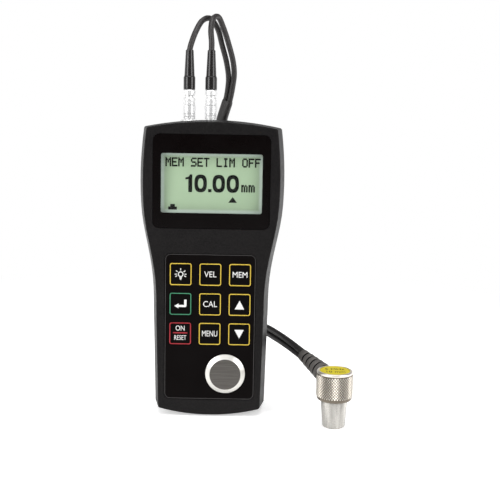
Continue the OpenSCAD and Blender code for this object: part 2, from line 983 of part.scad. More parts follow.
// Knurled sleeve: one closed skin of rings, with raised points on every other corner of the knurl rows
module probe_head() {
  n = 2 * knurl_n;
  rows = 12;
  r = head_d / 2;
  z0 = head_z;
  z1 = head_top;
  k0 = z0 + 1.6;
  k1 = z1 - 1.6;
  low = [[head_in, z0], [r - 1, z0], [r - 0.25, z0 + 0.7]];
  high = [
    [r - 0.1, z1 - 1], [r - 0.1, z1 - 0.6], [r - 0.6, z1], [disc_seat_r, z1],
    [disc_seat_r, z1 - disc_t], [head_in, z1 - disc_t]
  ];
  rings = concat(low, [for (j = [0 : rows]) [r - 0.25, k0 + (k1 - k0) * j / rows]], high);
  m = len(rings);
  first = len(low);
  function raised(j, k) = j > first && j < first + rows && (j + k) % 2 == 0;
  points = [
    for (j = [0 : m - 1])
      for (k = [0 : n - 1])
        let (a = 360 * k / n, q = rings[j][0] + (raised(j, k) ? 0.3 : 0))
          [q * cos(a), q * sin(a), rings[j][1]]
  ];
  faces = [
    for (j = [0 : m - 1])
      for (k = [0 : n - 1])
        let (a = j * n + k, b = j * n + (k + 1) % n, c = ((j + 1) % m) * n)
          let (d = c + (k + 1) % n, e = c + k)
            each (((j + k) % 2 == 0) ? [[a, e, b], [b, e, d]] : [[a, d, b], [a, e, d]])
  ];
  color("#b9b6ae")
    at_probe()
      difference() {
        polyhedron(points = points, faces = faces, convexity = 8);
        along_boot()
          translate([0, 0, 3])
            cylinder(h = 12, r = boot_hole_r + 0.1);
      }
}

module probe_disc() {
  color("#d8c648")
    at_probe()
      translate([0, 0, head_top - disc_t])
        cylinder(h = disc_t - 0.15, r = disc_seat_r - 0.12);
}

module probe_collar() {
  color("#cfd0d0")
    at_probe()
      rotate_extrude()
        polygon([
          [5, 0.3], [collar_d / 2 - 0.3, 0.3], [collar_d / 2, 0.7], [collar_d / 2 + 0.9, collar_h - 1.4],
          [collar_d / 2 + 0.7, collar_h], [head_in - 0.15, collar_h], [head_in - 0.15, collar_h + 5],
          [5, collar_h + 5]
        ]);
}

module half_round(r, z0, z1, side) {
  at_probe()
    intersection() {
      translate([0, 0, z0])
        cylinder(h = z1 - z0, r = r);
      translate([(side < 0) ? -20 : 0.35, -20, z0 - 1])
        cube([19.65, 40, z1 - z0 + 2]);
    }
}

module send_delay() {
  color("#8a6f45") half_round(4.85, 0, 8.4, -1);
}

module receive_delay() {
  color("#8a6f45") half_round(4.85, 0, 8.4, 1);
}

module probe_barrier() {
  color("#4d3a2a")
    at_probe()
      translate([-0.3, -4.6, 0])
        cube([0.6, 9.2, 9]);
}

module probe_crystals() {
  color("#c8c2a8")
    union() {
      half_round(4.5, 8.45, 9, -1);
      half_round(4.5, 8.45, 9, 1);
    }
}

module probe_backing() {
  color("#5a5148")
    at_probe()
      translate([0, 0, 9.05])
        cylinder(h = collar_h - 5.5, r = 4.85);
}

module probe_boot() {
  l = tail_boot_l;
  n = 4;
  p = l * 0.8 / n;
  color("#3a3a3c")
    at_probe()
      along_boot()
        translate([0, 0, boot_start])
          rotate_extrude()
            polygon(concat(
              [[0, 3 - boot_start], [0, 3 - boot_start + 2.8], [boot_hole_r, 3 - boot_start + 2.8]],
              [[boot_hole_r, 0]],
              [for (k = [0 : n - 1]) for (q = [[0.2, 0], [0, 0.2], [0, 0.6], [0.2, 0.72], [1.2, 0.74], [1.2, 1]])
                [4.7 - 0.34 * k - q[0], p * (k + q[1])]],
              [[3.3, l * 0.8], [3.15, l - 0.3], [2.9, l], [0, l]]
            ));
}

front_shell();
rear_shell();
case_seal();
case_screws();
display_window();
lcd_gasket();
lcd_panel();
lcd_backlight();
keypad_panel();
key_light();
key_velocity();
key_store();
key_enter();
key_calibrate();
key_up();
key_power();
key_menu();
key_down();
key_switches();
calibration_disc();
disc_clip();
main_board();
board_screws();
battery_door();
battery_cells();
battery_springs();
battery_plates();
left_socket();
right_socket();
socket_nuts();
left_plug_body();
left_plug_sleeve();
left_plug_nut();
left_plug_boot();
right_plug_body();
right_plug_sleeve();
right_plug_nut();
right_plug_boot();
left_lead();
right_lead();
cord_drop();
cord_hank();
hank_tie();
cord_tail();
probe_boot();
probe_head();
probe_disc();
probe_collar();
send_delay();
receive_delay();
probe_barrier();
probe_crystals();
probe_backing();
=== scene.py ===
import json
import math
import re

import bmesh
import bpy
from mathutils import Matrix, Vector


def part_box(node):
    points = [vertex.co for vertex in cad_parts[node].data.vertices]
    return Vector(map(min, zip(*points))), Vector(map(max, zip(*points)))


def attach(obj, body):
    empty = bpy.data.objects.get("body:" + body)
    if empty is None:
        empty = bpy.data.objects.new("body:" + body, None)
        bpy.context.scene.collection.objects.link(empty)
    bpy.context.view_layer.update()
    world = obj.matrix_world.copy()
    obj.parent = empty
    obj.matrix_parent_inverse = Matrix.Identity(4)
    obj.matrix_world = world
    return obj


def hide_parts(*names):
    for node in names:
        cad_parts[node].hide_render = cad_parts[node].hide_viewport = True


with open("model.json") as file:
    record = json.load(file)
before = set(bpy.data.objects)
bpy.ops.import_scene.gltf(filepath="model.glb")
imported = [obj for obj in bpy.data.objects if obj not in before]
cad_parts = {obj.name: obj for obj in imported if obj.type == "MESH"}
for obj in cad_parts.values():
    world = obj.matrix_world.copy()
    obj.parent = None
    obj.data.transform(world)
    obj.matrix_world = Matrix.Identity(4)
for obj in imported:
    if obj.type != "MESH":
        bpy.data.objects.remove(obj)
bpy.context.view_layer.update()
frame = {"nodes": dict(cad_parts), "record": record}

MM = 0.001
ROOT = "gauge"


# Small helpers. Lengths are in millimetres, except in materials, light and camera.

def body_of(node):
    for name, nodes in frame["record"]["behaviour"]["bodies"].items():
        if node in nodes:
            return name
    return ROOT


def span(node):
    """Lowest corner, highest corner and middle of a CAD node."""
    low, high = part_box(node)
    return low / MM, high / MM, (low + high) / (2 * MM)


def lin(r, g, b):
    """A colour of 0 to 255 as the renderer's linear values."""
    def one(c):
        c = c / 255
        return c / 12.92 if c <= 0.04045 else ((c + 0.055) / 1.055) ** 2.4
    return (one(r), one(g), one(b), 1.0)


def linked(name, data):
    ob = bpy.data.objects.new(name, data)
    bpy.context.scene.collection.objects.link(ob)
    return ob


def new_object(name, mesh, material, body, smooth=None):
    """A mesh with one material that rides a body, shaded smooth up to an angle in degrees."""
    ob = linked(name, mesh)
    mesh.materials.clear()
    mesh.materials.append(material)
    if smooth is not None:
        mesh.polygons.foreach_set("use_smooth", [True] * len(mesh.polygons))
        mesh.set_sharp_from_angle(angle=math.radians(smooth))
    if body is not None:
        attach(ob, body)
    return ob


def mesh_of(name, verts, faces, outward=False):
    """A mesh from points and faces, whose faces are turned outward on request."""
    mesh = bpy.data.meshes.new(name)
    mesh.from_pydata([tuple(c * MM for c in v) for v in verts], [], faces)
    mesh.update()
    if outward:
        bm = bmesh.new()
        bm.from_mesh(mesh)
        bmesh.ops.recalc_face_normals(bm, faces=bm.faces)
        bm.to_mesh(mesh)
        bm.free()
    return mesh


JOIN_M, THIN_M, FLAT_ANGLE = 2e-6, 1e-7, math.radians(0.4)
LEAST_BEVEL_ANGLE = 32


def skin(node, material, angle=32, bevel=0.0):
    """A clean copy of a CAD node with joined corners, smooth shading and small edge rounds."""
    mesh = frame["nodes"][node].data.copy()
    mesh.name = node + "_skin"
    bm = bmesh.new()
    bm.from_mesh(mesh)
    bmesh.ops.remove_doubles(bm, verts=bm.verts, dist=JOIN_M)
    bmesh.ops.dissolve_degenerate(bm, edges=bm.edges, dist=THIN_M)
    bmesh.ops.dissolve_limit(bm, angle_limit=FLAT_ANGLE, verts=bm.verts, edges=bm.edges)
    bm.normal_update()
    bm.to_mesh(mesh)
    bm.free()
    ob = new_object(node + "_skin", mesh, material, body_of(node), smooth=angle)
    if bevel:
        m = ob.modifiers.new("edge", "BEVEL")
        m.width = bevel * MM
        m.segments = 2
        m.limit_method = "ANGLE"
        m.angle_limit = math.radians(max(angle, LEAST_BEVEL_ANGLE))
        m.harden_normals = False
    even = ob.modifiers.new("even", "WEIGHTED_NORMAL")
    even.keep_sharp = True
    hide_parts(node)
    return ob


# Material nodes

def nodes_of(name):
    """A new material, its node tree and its shader."""
    m = bpy.data.materials.new(name)
    m.use_nodes = True
    t = m.node_tree
    t.nodes.clear()
    out = t.nodes.new("ShaderNodeOutputMaterial")
    b = t.nodes.new("ShaderNodeBsdfPrincipled")
    t.links.new(b.outputs[0], out.inputs[0])
    return m, t, b


def feed(t, x, socket):
    """Links a node's output to a socket, or writes a plain value into it."""
    if isinstance(x, bpy.types.NodeSocket):
        t.links.new(x, socket)
    else:
        socket.default_value = x


def coords(t, scale=(1, 1, 1)):
    c = t.nodes.new("ShaderNodeTexCoord")
    mp = t.nodes.new("ShaderNodeMapping")
    mp.inputs["Scale"].default_value = scale
    t.links.new(c.outputs["Object"], mp.inputs["Vector"])
    return mp.outputs["Vector"]


def axes(t, kind="Object"):
    """X, Y and Z of a place, in metres, or of a direction in the world's tree."""
    c = t.nodes.new("ShaderNodeTexCoord")
    s = t.nodes.new("ShaderNodeSeparateXYZ")
    t.links.new(c.outputs[kind], s.inputs[0])
    return s.outputs["X"], s.outputs["Y"], s.outputs["Z"]


def noise(t, vec, scale, detail, rough=0.55):
    n = t.nodes.new("ShaderNodeTexNoise")
    n.inputs["Scale"].default_value = scale
    n.inputs["Detail"].default_value = detail
    n.inputs["Roughness"].default_value = rough
    t.links.new(vec, n.inputs["Vector"])
    return n.outputs["Fac"]


def ramp(t, x, start, end, low=0.0, high=1.0, smooth=False):
    """Goes from low to high while x goes from start to end, and stays level outside."""
    n = t.nodes.new("ShaderNodeMapRange")
    if smooth:
        n.interpolation_type = "SMOOTHSTEP"
    n.inputs["From Min"].default_value = start
    n.inputs["From Max"].default_value = end
    n.inputs["To Min"].default_value = low
    n.inputs["To Max"].default_value = high
    t.links.new(x, n.inputs["Value"])
    return n.outputs["Result"]


def spread(t, fac, low=0.0, high=1.0):
    """A noise, which mostly keeps near its middle, spread out from low to high."""
    return ramp(t, fac, 0.3, 0.7, low, high)


def mixed(t, fac, a, b):
    """A colour from a to b."""
    n = t.nodes.new("ShaderNodeMix")
    n.data_type = "RGBA"
    for x, k in ((fac, 0), (a, 6), (b, 7)):
        feed(t, x, n.inputs[k])
    return n.outputs[2]


def between(t, fac, a, b):
    """A number from a to b."""
    n = t.nodes.new("ShaderNodeMix")
    for x, k in ((fac, 0), (a, 2), (b, 3)):
        feed(t, x, n.inputs[k])
    return n.outputs[0]


def value(t, op, *terms):
    n = t.nodes.new("ShaderNodeMath")
    n.operation = op
    for k, x in enumerate(terms):
        feed(t, x, n.inputs[k])
    return n.outputs[0]


def distance(t, a, b):
    squares = value(t, "ADD", value(t, "MULTIPLY", a, a), value(t, "MULTIPLY", b, b))
    return value(t, "SQRT", squares)


def bump(t, b, height, strength, depth=0.0001):
    n = t.nodes.new("ShaderNodeBump")
    n.inputs["Strength"].default_value = strength
    n.inputs["Distance"].default_value = depth
    t.links.new(height, n.inputs["Height"])
    t.links.new(n.outputs["Normal"], b.inputs["Normal"])


def surface(name, dark, light, rough, metal=0.0, grain=1500, grain_bump=0.15, wear=60,
            stretch=(1, 1, 1), flow=(1, 1, 1), shine=0.5, speck=0.0):
    """A procedural finish: slow colour change, specks, uneven gloss and a fine grain."""
    m, t, b = nodes_of(name)
    v = coords(t)
    shade = spread(t, noise(t, coords(t, flow), wear, 4))
    if speck:
        dots = value(t, "MULTIPLY", spread(t, noise(t, v, grain / 2, 2)), speck)
        shade = value(t, "ADD", value(t, "MULTIPLY", shade, 1 - speck), dots)
    feed(t, mixed(t, shade, lin(*dark), lin(*light)), b.inputs["Base Color"])
    feed(t, spread(t, noise(t, v, wear * 4, 3), *rough), b.inputs["Roughness"])
    b.inputs["Metallic"].default_value = metal
    b.inputs["Specular IOR Level"].default_value = shine
    if grain_bump:
        bump(t, b, noise(t, coords(t, stretch), grain, 2), grain_bump)
    return m


# Plain finishes: darkest and lightest colour, then the range of roughness

CASE = surface("case_plastic", (12, 11, 12), (30, 28, 28), (0.42, 0.5), grain=2600,
               grain_bump=0.3, shine=0.12, speck=0.7)
BACK = surface("back_plastic", (18, 17, 18), (38, 36, 36), (0.46, 0.56), grain=2400,
               grain_bump=0.35, shine=0.2, speck=0.7)
SEAL = surface("seal_rubber", (24, 24, 25), (32, 32, 32), (0.6, 0.75), grain=900)
SCREW = surface("zinc_screw", (150, 150, 152), (176, 176, 178), (0.28, 0.4), metal=1.0,
                grain=3000, grain_bump=0.05)
PANEL = surface("panel_film", (9, 6, 6), (13, 10, 10), (0.36, 0.44), grain=5000,
                grain_bump=0.12, shine=0.04)
KEY = surface("key_film", (8, 6, 6), (11, 9, 9), (0.34, 0.42), grain=5000,
              grain_bump=0.12, shine=0.04)
SWITCH = surface("switch_plastic", (40, 40, 41), (48, 48, 48), (0.45, 0.55))
BOARD = surface("solder_mask", (24, 84, 52), (30, 98, 60), (0.3, 0.4), grain=3000,
                grain_bump=0.05)
CELL = surface("cell_sleeve", (38, 44, 58), (46, 52, 66), (0.3, 0.4), grain=2000,
               grain_bump=0.04)
NICKEL = surface("nickel", (190, 190, 192), (214, 214, 214), (0.18, 0.3), metal=1.0,
                 grain=2500, grain_bump=0.03)
CHROME = surface("matt_chrome", (236, 236, 237), (248, 248, 247), (0.26, 0.34), metal=0.4,
                 grain=2600, grain_bump=0.02, stretch=(1, 1, 4))
BRASS = surface("brass", (190, 150, 70), (214, 176, 92), (0.25, 0.35), metal=1.0,
                grain=2400, grain_bump=0.05)
BOOT = surface("boot_rubber", (26, 24, 24), (34, 32, 32), (0.16, 0.24), grain=1800,
               grain_bump=0.06)
CORD = surface("cord_rubber", (36, 33, 33), (46, 43, 42), (0.4, 0.52), grain=1600,
               grain_bump=0.2)
TIE = surface("tie_fabric", (24, 24, 26), (34, 34, 36), (0.8, 0.9), grain=2200,
              grain_bump=0.8)
YELLOW = surface("yellow_disc", (190, 174, 30), (204, 188, 44), (0.42, 0.52), grain=1800,
                 grain_bump=0.1, shine=0.06)
COLLAR = surface("turned_steel", (84, 82, 79), (220, 217, 211), (0.24, 0.34), metal=1.0,
                 grain=900, grain_bump=0.1, wear=190, stretch=(1, 1, 14), flow=(1, 1, 0.08))
DELAY = surface("amber_delay", (140, 104, 56), (156, 120, 70), (0.15, 0.25), grain_bump=0.0)
CORK = surface("barrier", (92, 70, 50), (112, 88, 62), (0.7, 0.85), grain=1600,
               grain_bump=0.4)
CRYSTAL = surface("crystal", (196, 190, 168), (206, 200, 180), (0.4, 0.5), grain_bump=0.0)
BACKING = surface("backing", (96, 88, 80), (112, 104, 94), (0.6, 0.7), grain=1200,
                  grain_bump=0.3)
LIGHT_GUIDE = surface("light_guide", (226, 232, 220), (236, 240, 230), (0.3, 0.4),
                      grain_bump=0.0)
WHITE = surface("print_white", (226, 226, 224), (238, 238, 236), (0.45, 0.5), grain_bump=0.0)
INK = surface("lcd_ink", (5, 8, 6), (9, 12, 10), (0.5, 0.6), grain_bump=0.0, shine=0.1)
LINE = surface("print_grey", (54, 52, 52), (64, 62, 62), (0.4, 0.5), grain_bump=0.0)
KEY_YELLOW = surface("print_yellow", (208, 176, 52), (222, 192, 70), (0.4, 0.48),
                     grain_bump=0.0)
KEY_GREEN = surface("print_green", (50, 126, 92), (60, 140, 102), (0.4, 0.48),
                    grain_bump=0.0)
KEY_RED = surface("print_red", (160, 26, 38), (176, 36, 48), (0.4, 0.48), grain_bump=0.0)


# Display: the window is clear over the view and black around it

LCD_LOW, LCD_HIGH, LCD_MID = span("lcd_panel")
HIDDEN_W, HIDDEN_H = 5.6, 6.2
VIEW_HALF_W = (LCD_HIGH.x - LCD_LOW.x - HIDDEN_W) / 2 * MM
VIEW_HALF_H = (LCD_HIGH.z - LCD_LOW.z - HIDDEN_H) / 2 * MM
VIEW_ROUND, VIEW_SOFT = 0.001, 0.00005
# Width of a painted highlight along the edge of the display's view, in metres from that edge
EDGE_HIGHLIGHT_BAND = (-0.0019, -0.0009)
PANE_TINT, PANE_GLOSS, PANE_ROUGH = (0.97, 0.98, 0.97, 1), 0.015, 0.08


def view_distance(t):
    """Distance from the edge of the rounded view, in metres, below 0 inside."""
    x, _, z = axes(t)
    dz = value(t, "SUBTRACT", z, LCD_MID.z * MM)
    dx = value(t, "SUBTRACT", value(t, "ABSOLUTE", x), VIEW_HALF_W - VIEW_ROUND)
    dz = value(t, "SUBTRACT", value(t, "ABSOLUTE", dz), VIEW_HALF_H - VIEW_ROUND)
    outer = distance(t, value(t, "MAXIMUM", dx, 0.0), value(t, "MAXIMUM", dz, 0.0))
    inner = value(t, "MINIMUM", value(t, "MAXIMUM", dx, dz), 0.0)
    return value(t, "SUBTRACT", value(t, "ADD", outer, inner), VIEW_ROUND)


def window_material():
    m, t, b = nodes_of("window_plate")
    v = coords(t)
    black = mixed(t, spread(t, noise(t, v, 90, 4)), lin(8, 5, 5), lin(11, 8, 8))
    feed(t, black, b.inputs["Base Color"])
    feed(t, spread(t, noise(t, v, 300, 3), 0.1, 0.16), b.inputs["Roughness"])
    b.inputs["Specular IOR Level"].default_value = 0.08
    clear = t.nodes.new("ShaderNodeBsdfTransparent")
    clear.inputs["Color"].default_value = PANE_TINT
    gloss = t.nodes.new("ShaderNodeBsdfGlossy")
    gloss.inputs["Roughness"].default_value = PANE_ROUGH

    def mixed_shader(fac, one, other):
        n = t.nodes.new("ShaderNodeMixShader")
        for x, socket in zip((fac, one.outputs[0], other.outputs[0]), n.inputs):
            feed(t, x, socket)
        return n

    pane = mixed_shader(PANE_GLOSS, clear, gloss)
    inside = ramp(t, view_distance(t), VIEW_SOFT, -VIEW_SOFT)
    whole = mixed_shader(inside, b, pane)
    t.links.new(whole.outputs[0], t.nodes["Material Output"].inputs[0])
    return m


def lcd_material():
    m, t, b = nodes_of("lcd_glass")
    v = coords(t)
    green = mixed(t, spread(t, noise(t, v, 40, 3)), lin(160, 181, 152), lin(167, 188, 159))
    # Painted highlight: the display is paler along the edge of its view, for light on the
    # recess's inner edge
    tone = mixed(t, ramp(t, view_distance(t), *EDGE_HIGHLIGHT_BAND), green, lin(198, 212, 202))
    feed(t, tone, b.inputs["Base Color"])
    # Painted light: the display glass glows faintly in its own colour
    feed(t, tone, b.inputs["Emission Color"])
    b.inputs["Emission Strength"].default_value = 0.06
    feed(t, spread(t, noise(t, v, 200, 2), 0.3, 0.38), b.inputs["Roughness"])
    return m


# Calibration disc: a brushed face inside a turned ring, whose light colour is a painted highlight
# of its bevel

RING_EDGE = (0.00785, 0.0079)
BRUSH_SCALE, TURNED_SCALE, TURNED_SHARE = (60, 1, 2600), 26000.0, 0.2


def disc_material():
    m, t, b = nodes_of("calibration_steel")
    centre = span("calibration_disc")[2] * MM
    x, _, z = axes(t)
    dist = distance(t, value(t, "SUBTRACT", x, centre.x), value(t, "SUBTRACT", z, centre.z))
    ring = ramp(t, dist, *RING_EDGE)
    streak = noise(t, coords(t, BRUSH_SCALE), 1.0, 4, 0.6)
    turned = value(t, "SINE", value(t, "MULTIPLY", dist, TURNED_SCALE))
    face = mixed(t, spread(t, streak), lin(86, 83, 80), lin(110, 107, 103))
    # The turned ring is real; its light colour is a painted highlight of the ring's bevel
    feed(t, mixed(t, ring, face, lin(228, 226, 220)), b.inputs["Base Color"])
    b.inputs["Metallic"].default_value = 1.0
    feed(t, between(t, ring, spread(t, streak, 0.34, 0.46), 0.36), b.inputs["Roughness"])
    height = between(t, ring, streak, value(t, "MULTIPLY", turned, TURNED_SHARE))
    bump(t, b, height, 0.25, 0.00006)
    return m


# Pieces taken from the CAD parts

skin("front_shell", CASE, 28)
skin("rear_shell", BACK, 28)
skin("battery_door", BACK, 35, bevel=0.2)
skin("case_seal", SEAL)
skin("case_screws", SCREW, bevel=0.12)
skin("display_window", window_material(), bevel=0.12)
skin("lcd_gasket", SEAL)
skin("lcd_panel", lcd_material())
skin("lcd_backlight", LIGHT_GUIDE)
skin("keypad_panel", PANEL, bevel=0.06)
skin("key_switches", SWITCH)
skin("calibration_disc", disc_material(), 20)
skin("disc_clip", SCREW)
skin("main_board", BOARD)
skin("board_screws", SCREW)
skin("battery_cells", CELL, 25)
skin("battery_springs", NICKEL, 60)
skin("battery_plates", NICKEL)
skin("left_socket", CHROME, 30)
skin("right_socket", CHROME, 30)
skin("socket_nuts", BRASS, bevel=0.15)
for side in ("left", "right"):
    skin(side + "_plug_body", CHROME, 30)
    skin(side + "_plug_sleeve", CHROME, 24)
    skin(side + "_plug_nut", CHROME, 24)
    skin(side + "_plug_boot", BOOT, 24)
skin("hank_tie", TIE, bevel=0.25)
skin("probe_disc", YELLOW, bevel=0.12)
skin("probe_collar", COLLAR, 28)
skin("send_delay", DELAY)
skin("receive_delay", DELAY)
skin("probe_barrier", CORK)
skin("probe_crystals", CRYSTAL)
skin("probe_backing", BACKING)


# Flat printed pieces, FILM thick and PRINT_LIFT in front of what they are printed on

FILM, PRINT_LIFT = 0.015, 0.02
WORD_DEPTH = 0.01


def bar(x0, x1, z0, z1):
    return [(x0, z0), (x1, z0), (x1, z1), (x0, z1)]


def circle(r, n=28):
    angles = [2 * math.pi * k / n for k in range(n)]
    return [(r * math.cos(a), r * math.sin(a)) for a in angles]


def ring_points(w, h, r, n=8):
    """The outline of a rectangle with round corners."""
    pts = []
    for q in range(4):
        cx = w / 2 - r if q in (0, 3) else r - w / 2
        cz = h / 2 - r if q < 2 else r - h / 2
        for k in range(n + 1):
            a = math.radians(90 * q + 90 * k / n)
            pts.append((cx + r * math.cos(a), cz + r * math.sin(a)))
    return pts


def super_ring(half_w, half_h, power, n=48):
    """An outline between an oval, at power 2, and a rectangle."""
    def bulge(c):
        return math.copysign(abs(c) ** (2 / power), c)
    angles = [2 * math.pi * k / n for k in range(n)]
    return [(half_w * bulge(math.cos(a)), half_h * bulge(math.sin(a))) for a in angles]


def strip(name, outer, inner, x, z, y, material, body):
    """A flat band between two outlines with the same number of points, facing -Y."""
    n = len(outer)
    verts = [(x + px, depth, z + pz) for depth in (y, y + FILM) for px, pz in outer + inner]
    faces = []
    for k in range(n):
        j = (k + 1) % n
        faces.append((k, j, n + j, n + k))
        faces.append((2 * n + k, 3 * n + k, 3 * n + j, 2 * n + j))
        faces.append((k, 2 * n + k, 2 * n + j, j))
        faces.append((n + k, n + j, 3 * n + j, 3 * n + k))
    new_object(name, mesh_of(name, verts, faces), material, body)


def shape(name, polys, x, z, y, material, body):
    """Flat filled figures, facing -Y."""
    verts, faces = [], []
    for pts in polys:
        n = len(pts)
        base = len(verts)
        verts += [(x + px, depth, z + pz) for depth in (y, y + FILM) for px, pz in pts]
        faces.append(tuple(base + k for k in range(n)))
        faces.append(tuple(base + n + k for k in range(n - 1, -1, -1)))
        for k in range(n):
            j = (k + 1) % n
            faces.append((base + k, base + n + k, base + n + j, base + j))
    new_object(name, mesh_of(name, verts, faces, outward=True), material, body)


def words(name, text, size, x, z, y, material, body, squeeze=1.0, level=False):
    """A line of plain lettering, centred on its place, facing -Y, or up where it is level."""
    curve = bpy.data.curves.new(name, "FONT")
    curve.body = text
    curve.size = size
    curve.align_x = "CENTER"
    curve.align_y = "CENTER"
    curve.extrude = WORD_DEPTH
    curve.resolution_u = 4
    temp = linked(name + "_line", curve)
    bpy.context.view_layer.update()
    drawn = temp.evaluated_get(bpy.context.evaluated_depsgraph_get())
    mesh = bpy.data.meshes.new_from_object(drawn)
    bpy.data.objects.remove(temp)
    for v in mesh.vertices:
        a, b, c = v.co
        dy, dz = (b, c) if level else (-c, b)
        v.co = ((x + a * squeeze) * MM, (y + dy) * MM, (z + dz) * MM)
    mesh.update()
    new_object(name, mesh, material, body)


# Display reading and menu line. Places are from the middle of the display.

LCD_Y = LCD_LOW.y - PRINT_LIFT
DIGIT_Z = LCD_MID.z - 0.16
ZERO_OUTER, ZERO_INNER = super_ring(3.12, 4.45, 2.6), super_ring(1.34, 2.55, 2.3)
ZERO_X = (-5.55, 3.5, 10.5)
ONE_X = -11.6
ONE = [(-1.6, 2.8), (-1.6, 1.85), (-0.1, 2.05), (-0.1, -4.4), (1.85, -4.4), (1.85, 4.45),
       (0.7, 4.45), (0.05, 3.35)]
POINT_X, POINT_Z = -0.95, -3.7
UNIT_X, UNIT_Z, UNIT_DOT = 18.05, -1.6, (0.6, 0.7)
MARK_X, MARK_Z = 10.55, -8.2
MARK = [(-2.2, -1.4), (2.2, -1.4), (0, 1.5)]
COUPLING_X, COUPLING_Z = -19.5, -12.1
COUPLING = [bar(-2.2, 2.2, -1.4, 0.1), [(-1.2, 0.1), (1.2, 0.1), (1.1, 1.4), (-1.1, 1.4)]]
MENU = ((-18.7, "MEM"), (-6.0, "SET"), (6.7, "LIM"), (19.5, "OFF"))
MENU_Z, MENU_DOT = 10.5, (0.53, 0.62)
GLYPH_ROWS, GLYPH_STEP, DOT_OVER = 7, 6, 0.22
GLYPHS = {
    "M": "10001 11011 10101 10101 10001 10001 10001",
    "E": "11111 10000 10000 11110 10000 10000 11111",
    "S": "01111 10000 10000 01110 00001 00001 11110",
    "T": "11111 00100 00100 00100 00100 00100 00100",
    "L": "10000 10000 10000 10000 10000 10000 11111",
    "I": "01110 00100 00100 00100 00100 00100 01110",
    "O": "01110 10001 10001 10001 10001 10001 01110",
    "F": "11111 10000 10000 11110 10000 10000 10000",
    "m": "00000 00000 11010 10101 10101 10101 10101",
}


def inked(name, polys, x, z):
    shape(name, polys, x, LCD_MID.z + z, LCD_Y, INK, ROOT)


def dot_word(name, text, x, z, dot):
    """A word in display dots: one small bar for each run of dark dots."""
    dot_w, dot_h = dot
    bars = []
    left = -(GLYPH_STEP * len(text) - 1) * dot_w / 2
    for i, letter in enumerate(text):
        for j, row in enumerate(GLYPHS[letter].split()):
            for dark in re.finditer("1+", row):
                x0 = left + (GLYPH_STEP * i + dark.start()) * dot_w
                x1 = x0 + len(dark.group()) * dot_w + DOT_OVER
                z1 = (GLYPH_ROWS / 2 - j) * dot_h
                bars.append(bar(x0, x1, z1 - dot_h - DOT_OVER, z1))
    inked(name, bars, x, z)


for k, x in enumerate(ZERO_X):
    strip("reading_zero_%d" % k, ZERO_OUTER, ZERO_INNER, x, DIGIT_Z, LCD_Y, INK, ROOT)
shape("reading_one", [ONE], ONE_X, DIGIT_Z, LCD_Y, INK, ROOT)
inked("reading_point", [bar(-0.85, 0.85, -0.78, 0.78)], POINT_X, POINT_Z)
dot_word("reading_unit", "mm", UNIT_X, UNIT_Z, UNIT_DOT)
inked("reading_mark", [MARK], MARK_X, MARK_Z)
inked("coupling_mark", COUPLING, COUPLING_X, COUPLING_Z)
for k, (x, text) in enumerate(MENU):
    dot_word("menu_word_%d" % k, text, x, MENU_Z, MENU_DOT)


# Keypad: panel border, key outlines and legends

panel_low, panel_high, panel_mid = span("keypad_panel")
PANEL_W, PANEL_H = panel_high.x - panel_low.x, panel_high.z - panel_low.z
strip("panel_border", ring_points(PANEL_W - 0.5, PANEL_H - 0.5, 2.8),
      ring_points(PANEL_W - 1.0, PANEL_H - 1.0, 2.5), 0, panel_mid.z,
      panel_low.y - PRINT_LIFT, LINE, ROOT)
KEYS = ("key_light", "key_velocity", "key_store", "key_enter", "key_calibrate", "key_up",
        "key_power", "key_menu", "key_down")
KEY_OUTER, KEY_INNER = ring_points(10.9, 11.2, 1.1), ring_points(10.0, 10.3, 0.72)
PRINT = {"key_enter": KEY_GREEN, "key_power": KEY_RED}
LEGENDS = {"key_velocity": "VEL", "key_store": "MEM", "key_calibrate": "CAL",
           "key_menu": "MENU"}
LEGEND_SIZE, LEGEND_SQUEEZE, LONG_SQUEEZE = 4.3, 0.9, 0.68
SIGNS = {
    "key_up": ("up_mark", -0.1, [(-2.4, -2.25), (2.4, -2.25), (0, 2.25)]),
    "key_down": ("down_mark", 0.1, [(-2.4, 2.25), (0, -2.25), (2.4, 2.25)]),
    "key_enter": ("enter_mark", 0.0, [
        (-3.1, -1.05), (-0.9, 0.25), (-0.9, -0.5), (1.9, -0.5), (1.9, 2.25), (3.1, 2.25),
        (3.1, -1.05), (2.6, -1.6), (-0.9, -1.6), (-0.9, -2.3)]),
}
BULB_CAP = [bar(-0.62, 0.62, -1.9, -1.2), bar(-0.5, 0.5, -2.5, -2.05),
            bar(-0.3, 0.3, -2.9, -2.6)]
RAY, RAY_ANGLES = bar(1.9, 3.0, -0.19, 0.19), (-25, 0, 38, 90, 142, 180, 205)


def rotated(pts, angle):
    c, s = math.cos(math.radians(angle)), math.sin(math.radians(angle))
    return [(u * c - w * s, u * s + w * c) for u, w in pts]


for node in KEYS:
    key_low, _, key_mid = span(node)
    kx, kz, y = key_mid.x, key_mid.z, key_low.y - PRINT_LIFT
    skin(node, KEY, bevel=0.1)
    strip(node + "_outline", KEY_OUTER, KEY_INNER, kx, kz, y, PRINT.get(node, KEY_YELLOW), node)
    if node == "key_light":
        strip("light_bulb", circle(1.4), circle(0.95), kx, kz, y, WHITE, node)
        shape("light_cap", BULB_CAP, kx, kz, y, WHITE, node)
        shape("light_rays", [rotated(RAY, a) for a in RAY_ANGLES], kx, kz, y, WHITE, node)
    elif node == "key_power":
        words("power_word", "ON", 3.7, kx, kz + 2.6, y, WHITE, node, squeeze=0.82)
        shape("power_line", [bar(-3.6, 3.6, -0.28, 0.28)], kx, kz + 0.3, y, KEY_RED, node)
        words("power_reset", "RESET", 3.5, kx, kz - 2.3, y, WHITE, node, squeeze=0.68)
    elif node in SIGNS:
        name, dz, outline = SIGNS[node]
        shape(name, [outline], kx, kz + dz, y, WHITE, node)
    else:
        text = LEGENDS[node]
        squeeze = LEGEND_SQUEEZE if len(text) < 4 else LONG_SQUEEZE
        words(node + "_word", text, LEGEND_SIZE, kx, kz, y, WHITE, node, squeeze=squeeze)


# Knurled probe head. Its profile is a list of radii and heights above the foot or the top.

